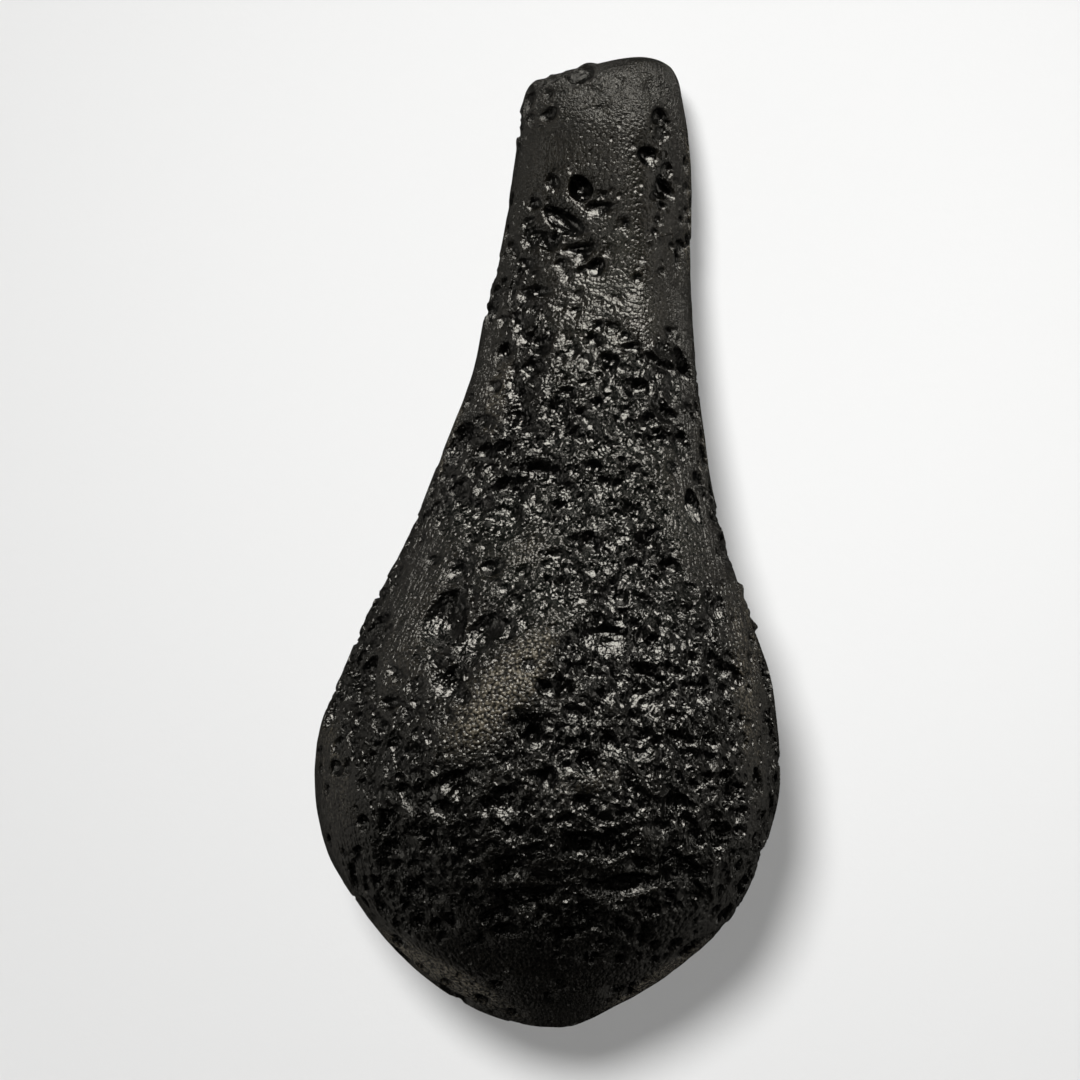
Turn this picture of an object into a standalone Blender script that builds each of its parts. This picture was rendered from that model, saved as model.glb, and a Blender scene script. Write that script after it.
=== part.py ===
"""Tektite: one drop of natural black glass, pitted all over, lying on its side.

The drop is a fat bulb at -Y, drawn out into a blunt neck at +Y. Its skin is a sphere stretched over the
drop's cross sections, swelled into broad ridges and hollows, and then pressed with bowl-shaped pits.
It rests at Z = 0 on a worn flat under the bulb and a smaller one under the end of the neck.

Sizes in the tables below are millimetres. The finished mesh is in metres, +Z up, with its origin at the
middle of the footprint.
"""

import math

import bmesh
import bpy
import numpy as np
from mathutils import Matrix

NAME = "tektite"
METRES_PER_MM = 0.001
HALF_LENGTH = 38.4
SECTION_POWER = 2.05  # 2 makes elliptical cross sections, and more makes them squarer

SEGMENTS_ROUND = 400
RINGS_ALONG = 300
TRIANGLES_KEPT = 9300
SMOOTH_EDGE = math.radians(40)

PIT_STEEPNESS = 0.75  # under 1 gives a bowl with a crisp rim and steep sides
SCATTER_SEED = 4107
SWELL_COUNT, SWELL_RADIUS, SWELL_HEIGHT = 46, (2.6, 6.5), 0.30
SCATTER_COUNT, SCATTER_LENGTH, SCATTER_DEPTH = 190, (1.3, 3.4), 0.40
CROWN_TILT = 0.55  # skin facing up by more than this has its pits in the tables
TIP_START, TIP_END, TIP_CALM = 33.0, 36.0, 0.6  # pits grow this much shallower over these Y
FLATS = ((-1.2, -18.0, 6.5), (5.6, 32.0, 4.5))  # (x, y, radius kept free of pits)

GROUND_SIZE = (60.0, 100.0, 10.0)

GLASS_COLOUR = (0.012, 0.011, 0.010, 1.0)
GLASS_ROUGHNESS = 0.32

# Cross sections: the distance Y along the drop, then its left and right edges and its crest in X, and
# its underside and top in Z. The first and last are the points where the skin closes.
SECTIONS = (
    # y, left, right, crest, under, top
    (-38.4, 0.9, 0.9, 0.9, 13.0, 13.0),
    (-37.0, -5.2, 4.8, 0.4, 8.9, 17.4),
    (-33.9, -10.0, 9.9, 0.2, 5.0, 22.0),
    (-29.1, -14.4, 14.8, -0.2, 1.9, 26.6),
    (-24.4, -17.2, 16.9, -0.8, 0.3, 29.1),
    (-19.7, -18.1, 18.1, -1.4, -0.25, 30.0),
    (-15.0, -17.8, 18.0, -1.6, -0.15, 29.6),
    (-10.3, -16.0, 17.4, -0.8, 0.5, 28.3),
    (-5.7, -14.0, 15.9, 0.8, 1.6, 26.0),
    (-1.0, -11.5, 14.3, 2.4, 2.4, 23.2),
    (3.7, -9.6, 13.0, 3.8, 2.8, 20.4),
    (8.5, -7.6, 12.3, 4.9, 2.7, 18.1),
    (13.3, -5.9, 11.8, 5.8, 2.2, 16.1),
    (18.1, -5.0, 11.6, 6.3, 1.5, 14.5),
    (24.1, -3.7, 11.4, 6.5, 0.6, 13.1),
    (30.1, -2.6, 11.2, 6.6, -0.1, 12.0),
    (34.6, -1.8, 10.8, 6.7, -0.3, 11.1),
    (36.5, -0.5, 10.5, 6.9, 0.4, 10.2),
    (37.5, 2.8, 10.0, 7.2, 1.9, 8.9),
    (38.4, 7.7, 7.7, 7.7, 5.2, 5.2),
)

# Broad ridges (height over 0) and hollows (under 0) of the upper side.
SWELLS = (
    # x, y, length, width, turn in degrees, height
    (-3.4, -11.3, 15.0, 4.2, 50, 0.55),  # ridge that runs down the bulb from the neck
    (6.9, 23.7, 22.0, 3.4, 90, 0.25),  # crest of the neck
    (9.9, 23.7, 18.0, 2.6, 90, -0.15),  # its steeper right flank
    (8.7, 28.8, 8.5, 3.4, 90, -0.24),
    (-11.5, -4.8, 15.0, 7.0, 62, -0.35),  # smooth left shoulder
    (-7.0, -5.9, 6.4, 6.0, 90, -0.60),  # dish round the twin pit
    (4.7, -7.7, 8.5, 5.0, 0, -0.50),  # dish in the middle of the bulb
    (7.6, -12.3, 4.0, 4.0, 0, -0.35),
    (1.5, 3.7, 8.0, 5.0, -30, -0.30),
    (12.8, -1.8, 13.0, 4.0, 108, 0.35),  # smooth right shoulder
    (-12.4, -28.7, 12.0, 3.0, -48, 0.55),  # lip along the foot of the bulb
    (-9.6, -26.7, 10.0, 3.0, -48, -0.40),
    (14.2, -24.3, 10.0, 3.0, 60, 0.30),
    (-7.7, -32.4, 13.0, 1.4, -28, 0.32),
    (-6.9, -31.2, 11.0, 1.6, -28, -0.28),
    (2.0, -25.8, 16.0, 4.0, 0, -0.30),
    (13.2, 0.7, 1.3, 1.1, 0, 0.30),  # lumps down the right edge
    (14.9, -3.9, 1.5, 1.4, 0, 0.45),
    (15.5, -5.4, 1.5, 1.4, 0, 0.45),
    (16.4, -7.1, 1.7, 1.5, 0, 0.40),
    (0.9, 36.9, 3.0, 2.4, 0, -0.55),  # steps in the end of the neck
    (3.3, 37.4, 1.9, 2.0, 0, 0.35),
    (4.6, 37.9, 3.0, 2.2, 0, -0.45),
    (7.8, 37.6, 3.2, 2.4, 0, 0.25),
)

# The larger pits of the upper side.
PITS = (
    # x, y, length, width, turn in degrees, depth
    # the end of the neck
    (0.1, 35.0, 1.1, 1.0, 0, 0.25),
    (3.1, 35.4, 1.3, 1.1, 0, 0.30),
    (5.2, 35.3, 1.0, 0.9, 0, 0.22),
    (9.2, 35.6, 1.1, 1.1, 0, 0.25),
    (4.1, 33.8, 1.0, 0.8, 0, 0.18),
    # one round pit on the neck, with slanting grooves under it
    (2.5, 27.5, 2.1, 2.1, 0, 1.05),
    (1.1, 24.9, 4.2, 1.8, -35, 0.85),
    (-0.4, 23.5, 3.0, 1.4, -35, 0.55),
    (4.0, 25.9, 2.7, 1.3, 0, 0.35),
    (2.5, 22.7, 3.0, 1.2, 5, 0.35),
    # the neck's right flank
    (8.0, 30.0, 1.8, 1.8, 0, 0.70),
    (9.4, 27.4, 2.2, 1.6, -20, 0.65),
    (10.5, 21.9, 1.0, 1.8, 0, 0.45),
    # the neck's left strip
    (-1.6, 19.3, 2.2, 1.5, 20, 0.35),
    (-2.4, 17.1, 2.4, 1.4, -20, 0.40),
    (-1.4, 15.5, 2.4, 1.3, 0, 0.45),
    (-1.2, 13.3, 2.1, 1.7, 0, 0.55),
    (-1.8, 10.9, 2.0, 1.7, 60, 0.50),
    (-1.4, 8.5, 2.4, 1.5, 0, 0.50),
    # the cluster where the right flank widens
    (6.6, 14.8, 1.8, 1.2, 0, 0.45),
    (6.9, 11.7, 2.1, 2.1, 0, 0.85),
    (9.4, 13.3, 2.3, 1.4, 0, 0.65),
    (9.2, 9.6, 2.8, 1.4, 0, 0.60),
    (5.4, 8.3, 1.6, 1.3, 0, 0.40),
    (9.6, 5.2, 1.6, 1.1, -40, 0.35),
    (12.1, 3.5, 1.9, 1.2, 90, 0.45),
    # the waist
    (3.4, 8.6, 4.6, 1.3, -64, 0.50),
    (-5.0, 6.6, 2.0, 1.8, 0, 0.85),
    (-0.5, 5.1, 3.8, 2.4, -15, 1.05),
    (3.4, 5.5, 1.8, 1.3, 0, 0.50),
    (-6.6, 4.2, 1.4, 1.2, 0, 0.40),
    (-8.5, 1.4, 1.7, 1.0, 80, 0.35),
    (-4.7, 1.7, 1.6, 1.0, 0, 0.35),
    (-5.9, 0.0, 1.6, 1.4, 0, 0.45),
    (2.7, 2.3, 3.0, 1.5, -10, 0.60),
    (6.1, 0.0, 3.4, 1.3, -12, 0.55),
    # the shoulder of the bulb
    (-4.4, -2.2, 2.4, 1.6, 10, 0.65),
    (-2.0, -2.6, 1.5, 1.5, 0, 0.50),
    (0.7, -1.2, 1.9, 1.3, 0, 0.50),
    (0.4, -3.2, 2.0, 1.4, 0, 0.55),
    (3.2, -2.5, 2.8, 1.8, -20, 0.45),
    (2.6, -4.7, 3.0, 1.2, 10, 0.40),
    (-1.7, -6.3, 1.6, 1.2, 0, 0.35),
    # the twin pit and the string of pits under it
    (-8.1, -6.1, 5.8, 3.6, 97, 1.10),
    (-5.2, -7.2, 4.4, 3.1, 84, 0.90),
    (-6.5, -8.4, 2.1, 1.1, 0, 0.40),
    (-6.9, -9.9, 1.6, 1.3, 0, 0.50),
    (-8.4, -9.5, 1.6, 1.2, 0, 0.40),
    # the middle of the bulb
    (4.7, -7.6, 6.9, 3.4, -3, 0.60),
    (5.5, -6.4, 3.4, 1.2, -3, 0.45),
    (2.3, -9.8, 2.2, 1.6, 20, 0.55),
    (0.5, -11.7, 2.6, 1.4, 10, 0.55),
    (7.6, -9.8, 2.1, 1.3, 0, 0.50),
    (7.6, -12.3, 3.2, 3.0, 0, 0.65),
    (3.0, -13.4, 1.4, 1.3, 0, 0.40),
    (-0.9, -15.3, 2.2, 2.2, 0, 0.80),
    (-0.1, -18.3, 1.9, 1.9, 0, 0.75),
    (6.8, -14.7, 3.6, 1.2, -5, 0.40),
    (8.6, -17.7, 1.4, 1.3, 90, 0.45),
    (6.5, -19.2, 1.5, 1.3, 0, 0.40),
    # the right side of the bulb
    (10.6, -5.5, 2.4, 1.3, 0, 0.55),
    (9.2, -6.8, 1.8, 1.3, 0, 0.50),
    (11.6, -7.3, 2.6, 1.4, 10, 0.60),
    (12.0, -18.4, 1.6, 1.4, 0, 0.50),
    (13.4, -20.3, 1.7, 1.4, 0, 0.50),
    (11.0, -26.1, 1.9, 1.3, 20, 0.45),
    # the left side of the bulb
    (-12.0, -12.7, 2.0, 1.3, 0, 0.55),
    (-12.6, -14.5, 1.8, 1.1, 0, 0.45),
    (-14.5, -14.9, 2.4, 1.2, -10, 0.45),
    (-11.3, -17.3, 1.5, 1.1, 0, 0.40),
    (-9.2, -19.3, 2.4, 1.9, -35, 0.60),
    (-7.9, -20.7, 2.4, 1.8, -35, 0.60),
    (-10.1, -25.2, 1.7, 1.4, 0, 0.45),
    (-12.8, -26.7, 1.8, 1.3, -45, 0.45),
    (-8.4, -27.5, 1.4, 1.2, 0, 0.40),
    # the foot of the bulb
    (2.3, -23.2, 3.9, 2.1, 0, 0.60),
    (8.5, -22.1, 3.1, 1.4, 0, 0.50),
    (7.0, -25.0, 2.4, 1.5, 0, 0.50),
    (-2.0, -27.6, 5.0, 2.3, 10, 0.80),
    (5.9, -26.6, 5.3, 2.1, 6, 0.80),
    (-3.2, -30.0, 2.9, 1.5, 0, 0.50),
    (1.4, -30.2, 3.6, 1.4, 0, 0.50),
)


def clear_scene():
    """Removes every object of the start-up scene."""
    for obj in list(bpy.data.objects):
        bpy.data.objects.remove(obj, do_unlink=True)


def curve_through(knots, rows, at):
    """Rows read at any place between the knots, along a cubic that passes smoothly through them."""
    slopes = np.gradient(rows, knots, axis=0)
    i = np.clip(np.searchsorted(knots, at) - 1, 0, len(knots) - 2)
    gap = (knots[i + 1] - knots[i])[..., None]
    t = (at - knots[i])[..., None] / gap
    ease = t * t * (3 - 2 * t)
    return (
        rows[i] * (1 - ease)
        + rows[i + 1] * ease
        + slopes[i] * gap * t * (1 - t) ** 2
        - slopes[i + 1] * gap * t * t * (1 - t)
    )


def sections_at(polar):
    """Left, right, crest, under and top of the cross section at a polar angle, 0 at the bulb's foot."""
    table = np.array(SECTIONS)
    knots = np.arccos(np.clip(-table[:, 0] / HALF_LENGTH, -1, 1))
    return curve_through(knots, table[:, 1:], polar)


def drop_skin(polar, around):
    """Points of the plain drop. The angle around a section is 0 at +X and a right angle at the top."""
    left, right, crest, under, top = np.moveaxis(sections_at(polar), -1, 0)
    middle = (under + top) / 2
    cos, sin = np.cos(around), np.sin(around)
    reach = (np.abs(cos) ** SECTION_POWER + np.abs(sin) ** SECTION_POWER) ** (-1 / SECTION_POWER)
    across = np.where(cos > 0, right - crest, crest - left)
    return np.stack(
        [
            crest + across * reach * cos,
            -HALF_LENGTH * np.cos(polar),
            middle + (top - middle) * reach * sin,
        ],
        axis=-1,
    )


def upper_side_point(x, y):
    """The point of the drop's upper side that lies over (x, y)."""
    polar = np.full(361, math.acos(-y / HALF_LENGTH))
    arch = drop_skin(polar, np.linspace(math.pi, 0, 361))
    return np.array([x, y, np.interp(x, arch[:, 0], arch[:, 2])])


def random_point(rng):
    """A point spread evenly over the drop's skin."""
    while True:
        polar = math.acos(rng.uniform(-1, 1))
        around = rng.uniform(0, 2 * math.pi)
        step = 0.01
        corner, along, across = drop_skin(
            np.array([polar, min(polar + step, math.pi), polar]),
            np.array([around, around, around + step]),
        )
        patch = np.linalg.norm(np.cross(along - corner, across - corner))
        if rng.uniform() * 420.0 < patch / step**2 / max(math.sin(polar), 0.05):
            return corner


def near_flat(place, reach=0.0):
    """Whether a place on the underside is within reach of one of the flats that the drop rests on."""
    return place[2] < 5.0 and any(math.dist(place[:2], (x, y)) < radius + reach for x, y, radius in FLATS)


def unit(vectors):
    return vectors / np.linalg.norm(vectors, axis=-1, keepdims=True)


def skin_normals(points, triangles):
    """Outward normals at the points: the sum of the triangles' own, each weighted by its area."""
    a, b, c = np.moveaxis(points[triangles], 1, 0)
    normals = np.zeros_like(points)
    for corner in triangles.T:
        np.add.at(normals, corner, np.cross(b - a, c - a))
    return unit(normals)


def oval_patch(points, normals, place, length, width, turn, reach=1.0):
    """The skin round a place: which points lie there, and their distances from an oval's middle.

    The distance is 1 at the oval's edge. Reach says how many times the oval's size the patch spans.
    """
    radius = reach * max(length, width) / 2
    away = ((points - place) ** 2).sum(axis=1)
    nearest = int(np.argmin(away))
    patch = np.flatnonzero(away < (1.3 * radius + math.sqrt(away[nearest])) ** 2)

    out = normals[nearest]
    guide = np.array([0.0, 1.0, 0.0]) if abs(out[1]) < 0.9 else np.array([0.0, 0.0, 1.0])
    along = unit(guide - (guide @ out) * out)
    across = np.cross(along, out)
    angle = math.radians(turn)
    long_way = math.cos(angle) * across + math.sin(angle) * along
    short_way = np.cross(out, long_way)

    offset = points[patch] - points[nearest]
    distance = np.hypot(offset @ long_way / (length / 2), offset @ short_way / (width / 2))
    return patch, distance


def swell_heights(points, normals, rng):
    """Height of the ridges and hollows: the sum of one bell for each."""
    swells = [(upper_side_point(x, y), *shape) for x, y, *shape in SWELLS]
    for _ in range(SWELL_COUNT):
        place = random_point(rng)
        size = 2 * rng.uniform(*SWELL_RADIUS)
        height = rng.uniform(-SWELL_HEIGHT, SWELL_HEIGHT)
        if not near_flat(place, size / 4):
            swells.append((place, size, size, 0, height))

    heights = np.zeros(len(points))
    for place, length, width, turn, height in swells:
        patch, distance = oval_patch(points, normals, place, length, width, turn, reach=2.2)
        heights[patch] += height * np.exp(-(distance**2))
    return heights


def scattered_pits(points, normals, rng):
    """Places and sizes of the pits of the flanks and the underside, with few of them overlapping."""
    pits = []
    while len(pits) < SCATTER_COUNT:
        place = random_point(rng)
        length = rng.uniform(*SCATTER_LENGTH)
        width = length * rng.uniform(0.55, 1.0)
        turn = rng.uniform(0, 180)
        crowded = any(math.dist(place, other[0]) < 0.42 * (length + other[1]) for other in pits)
        if crowded or near_flat(place, length / 2):
            continue
        nearest = int(np.argmin(((points - place) ** 2).sum(axis=1)))
        if normals[nearest][2] < CROWN_TILT:
            pits.append((place, length, width, turn, SCATTER_DEPTH * width))
    return pits


def pit_heights(points, normals, rng):
    """Height of the pitted skin, under 0: bowls that overlap leave a sharp wall between them."""
    table = [(upper_side_point(x, y), *shape) for x, y, *shape in PITS]
    heights = np.zeros(len(points))
    for place, length, width, turn, depth in table + scattered_pits(points, normals, rng):
        patch, distance = oval_patch(points, normals, place, length, width, turn)
        bowl = depth * np.clip(1 - distance**2, 0, 1) ** PIT_STEEPNESS
        heights[patch] = np.minimum(heights[patch], -bowl)
    tip = np.clip((points[:, 1] - TIP_START) / (TIP_END - TIP_START), 0, 1)
    return heights * (1 - TIP_CALM * tip * tip * (3 - 2 * tip))


def drop_mesh():
    """The pitted drop as one fine closed mesh, before it is thinned."""
    mesh = bpy.data.meshes.new("fine_drop")
    ball = bmesh.new()
    bmesh.ops.create_uvsphere(ball, u_segments=SEGMENTS_ROUND, v_segments=RINGS_ALONG, radius=1.0)
    ball.to_mesh(mesh)
    ball.free()

    sphere = np.empty(len(mesh.vertices) * 3, np.float32)
    mesh.vertices.foreach_get("co", sphere)
    x, y, z = sphere.astype(np.float64).reshape(-1, 3).T
    mesh.calc_loop_triangles()
    triangles = np.empty(len(mesh.loop_triangles) * 3, np.int32)
    mesh.loop_triangles.foreach_get("vertices", triangles)
    triangles = triangles.reshape(-1, 3)

    points = drop_skin(np.arccos(np.clip(z, -1, 1)), np.arctan2(y, x))
    rng = np.random.default_rng(SCATTER_SEED)
    for relief in (swell_heights, pit_heights):
        normals = skin_normals(points, triangles)
        points = points + relief(points, normals, rng)[:, None] * normals

    mesh.vertices.foreach_set("co", points.astype(np.float32).ravel())
    mesh.update()
    return mesh


def thinned_mesh(fine):
    """The fine mesh with fewer triangles, most of them where the skin bends. It is thinned in
    millimetres, because Decimate can't tell apart errors as small as these are in metres."""
    fine_drop = bpy.data.objects.new("fine_drop", fine)
    bpy.context.scene.collection.objects.link(fine_drop)
    thin = fine_drop.modifiers.new("thin", "DECIMATE")
    thin.ratio = TRIANGLES_KEPT / sum(len(face.vertices) - 2 for face in fine.polygons)
    mesh = bpy.data.meshes.new_from_object(fine_drop.evaluated_get(bpy.context.evaluated_depsgraph_get()))
    mesh.name = NAME
    mesh.transform(Matrix.Scale(METRES_PER_MM, 4))
    bpy.data.objects.remove(fine_drop, do_unlink=True)
    bpy.data.meshes.remove(fine)
    return mesh


def ground_cutter(collection):
    """A block that fills the space under Z = 0, to cut the flats."""
    mesh = bpy.data.meshes.new("ground_cutter")
    block = bmesh.new()
    bmesh.ops.create_cube(block, size=1.0)
    size = [side * METRES_PER_MM for side in GROUND_SIZE]
    bmesh.ops.scale(block, vec=size, verts=block.verts)
    bmesh.ops.translate(block, vec=(0, 0, -size[2] / 2), verts=block.verts)
    block.to_mesh(mesh)
    block.free()
    cutter = bpy.data.objects.new("ground_cutter", mesh)
    cutter.hide_render = True
    cutter.display_type = "WIRE"
    collection.objects.link(cutter)
    return cutter


def glass_material():
    """Natural black glass with a satin, etched skin."""
    material = bpy.data.materials.new("black_glass")
    material.use_nodes = True
    shader = material.node_tree.nodes["Principled BSDF"]
    shader.inputs["Base Color"].default_value = GLASS_COLOUR
    shader.inputs["Roughness"].default_value = GLASS_ROUGHNESS
    shader.inputs["Metallic"].default_value = 0.0
    material.diffuse_color = GLASS_COLOUR
    return material


def add_collection(name):
    collection = bpy.data.collections.new(name)
    bpy.context.scene.collection.children.link(collection)
    return collection


def build_tektite():
    """The drop, cut level where it rests."""
    mesh = thinned_mesh(drop_mesh())
    mesh.materials.append(glass_material())
    mesh.shade_smooth()
    mesh.set_sharp_from_angle(angle=SMOOTH_EDGE)
    tektite = bpy.data.objects.new(NAME, mesh)
    add_collection(NAME).objects.link(tektite)

    level = tektite.modifiers.new("level_flats", "BOOLEAN")
    level.operation = "DIFFERENCE"
    level.solver = "EXACT"
    level.object = ground_cutter(add_collection("cutters"))
    return tektite


clear_scene()
build_tektite()
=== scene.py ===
"""A tektite on a pale floor: one drop of natural black glass, lying on its side.

The drop's skin is a grid of points, one row for each cross section and one column for each angle round
it. It starts as a smooth drop, is swelled into broad ridges and hollows, and is then pressed with three
sizes of pit. What is too fine for the mesh, the smallest bubbles, the beads and the grain, is in the
glass's own finish.

The tables are in millimetres. The finished mesh is in metres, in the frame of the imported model.
"""

from __future__ import annotations

import logging
import math
from dataclasses import dataclass, field
from enum import Enum

import bpy
import numpy as np
from mathutils import Matrix, Vector

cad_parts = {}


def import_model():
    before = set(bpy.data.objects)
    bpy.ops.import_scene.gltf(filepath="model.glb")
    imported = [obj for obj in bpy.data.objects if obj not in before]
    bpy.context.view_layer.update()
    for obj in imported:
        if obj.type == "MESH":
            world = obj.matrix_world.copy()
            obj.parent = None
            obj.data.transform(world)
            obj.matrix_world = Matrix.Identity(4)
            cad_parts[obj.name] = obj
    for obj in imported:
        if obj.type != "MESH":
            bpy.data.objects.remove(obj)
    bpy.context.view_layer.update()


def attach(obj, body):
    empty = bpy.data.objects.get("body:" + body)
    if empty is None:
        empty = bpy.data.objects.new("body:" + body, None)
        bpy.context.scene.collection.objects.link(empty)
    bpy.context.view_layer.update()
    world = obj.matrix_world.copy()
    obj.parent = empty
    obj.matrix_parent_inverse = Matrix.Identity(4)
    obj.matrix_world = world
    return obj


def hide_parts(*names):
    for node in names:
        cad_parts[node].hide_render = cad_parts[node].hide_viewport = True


log = logging.getLogger("tektite")

Array = np.ndarray
Random = np.random.Generator
Socket = bpy.types.NodeSocket

MM = 0.001
UP = np.array([0.0, 0.0, 1.0])
DROP_MIDDLE = Vector((0, 0, 0.015))


# Small helpers

def unit(vectors: Array) -> Array:
    """The vectors scaled to length 1."""
    return vectors / np.maximum(np.linalg.norm(vectors, axis=-1, keepdims=True), 1e-12)


def ease(low: float, high: float, values: Array) -> Array:
    """A smooth step: 0 up to low, 1 from high on, and 3t^2 - 2t^3 between them."""
    t = np.clip((values - low) / (high - low), 0, 1)
    return t * t * (3 - 2 * t)


def ring_faces(rings: Array) -> Array:
    """The four-sided faces between rings of points, which are given as rows of point numbers."""
    turned = np.roll(rings, -1, axis=1)
    return np.stack([rings[:-1], rings[1:], turned[1:], turned[:-1]], axis=-1).reshape(-1, 4)


def fan_faces(pole: int, ring: Array) -> Array:
    """The three-sided faces between a pole and one ring of points."""
    return np.stack([np.full(len(ring), pole), ring, np.roll(ring, -1)], axis=-1)


@dataclass(frozen=True)
class Mottle:
    """Smooth random values in space, from a table of random numbers at the corners of cubes.

    Attributes:
        seed: Seed of the table.
        cell: Side of a cube, in millimetres.
        table_side: How many cubes the table has along each axis.
    """

    seed: int
    cell: float
    table_side: int = 32

    def at(self, points: Array) -> Array:
        """Reads the values at some points.

        The value is the weighted sum of the eight corners of the cube round a point, and each weight is
        the product of the smooth steps 3t^2 - 2t^3 along the three axes.

        Args:
            points: Places in millimetres, with x, y, z last.

        Returns:
            Values between -1 and 1.
        """
        table = np.random.default_rng(self.seed).uniform(-1, 1, (self.table_side,) * 3)
        scaled = points / self.cell
        corner = np.floor(scaled).astype(int)
        t = scaled - corner
        t = t * t * (3 - 2 * t)
        values = np.zeros(points.shape[:-1])
        for step in np.ndindex(2, 2, 2):
            weight = np.prod(np.where(np.array(step) == 1, t, 1 - t), axis=-1)
            index = (corner + step) % self.table_side
            values += weight * table[index[..., 0], index[..., 1], index[..., 2]]
        return values


# The drop's form

@dataclass(frozen=True)
class Section:
    """A cross section of the drop, in millimetres.

    Attributes:
        y: Distance along the drop.
        left: X of its left edge.
        right: X of its right edge.
        crest: X of its highest point.
        under: Z of its underside.
        top: Z of its top.
    """

    y: float
    left: float
    right: float
    crest: float
    under: float
    top: float


@dataclass(frozen=True)
class Oval:
    """An oval ridge, hollow or pit of the upper side, in millimetres.

    Attributes:
        x: X of its middle.
        y: Y of its middle.
        length: Its longer way across.
        width: Its shorter way across.
        turn: Angle of the longer way from +X, in degrees.
        depth: How far it goes in, or out for a ridge.
    """

    x: float
    y: float
    length: float
    width: float
    turn: float
    depth: float

    def distance(self, x: Array, y: Array) -> Array:
        """How far places are from its middle, where 1 is its edge."""
        cos, sin = math.cos(math.radians(self.turn)), math.sin(math.radians(self.turn))
        along = (x - self.x) * cos + (y - self.y) * sin
        aside = (y - self.y) * cos - (x - self.x) * sin
        return np.hypot(2 * along / self.length, 2 * aside / self.width)


def ovals(*rows: tuple[float, ...]) -> tuple[Oval, ...]:
    """One oval for each row of x, y, length, width, turn and depth."""
    return tuple(Oval(*row) for row in rows)


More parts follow.
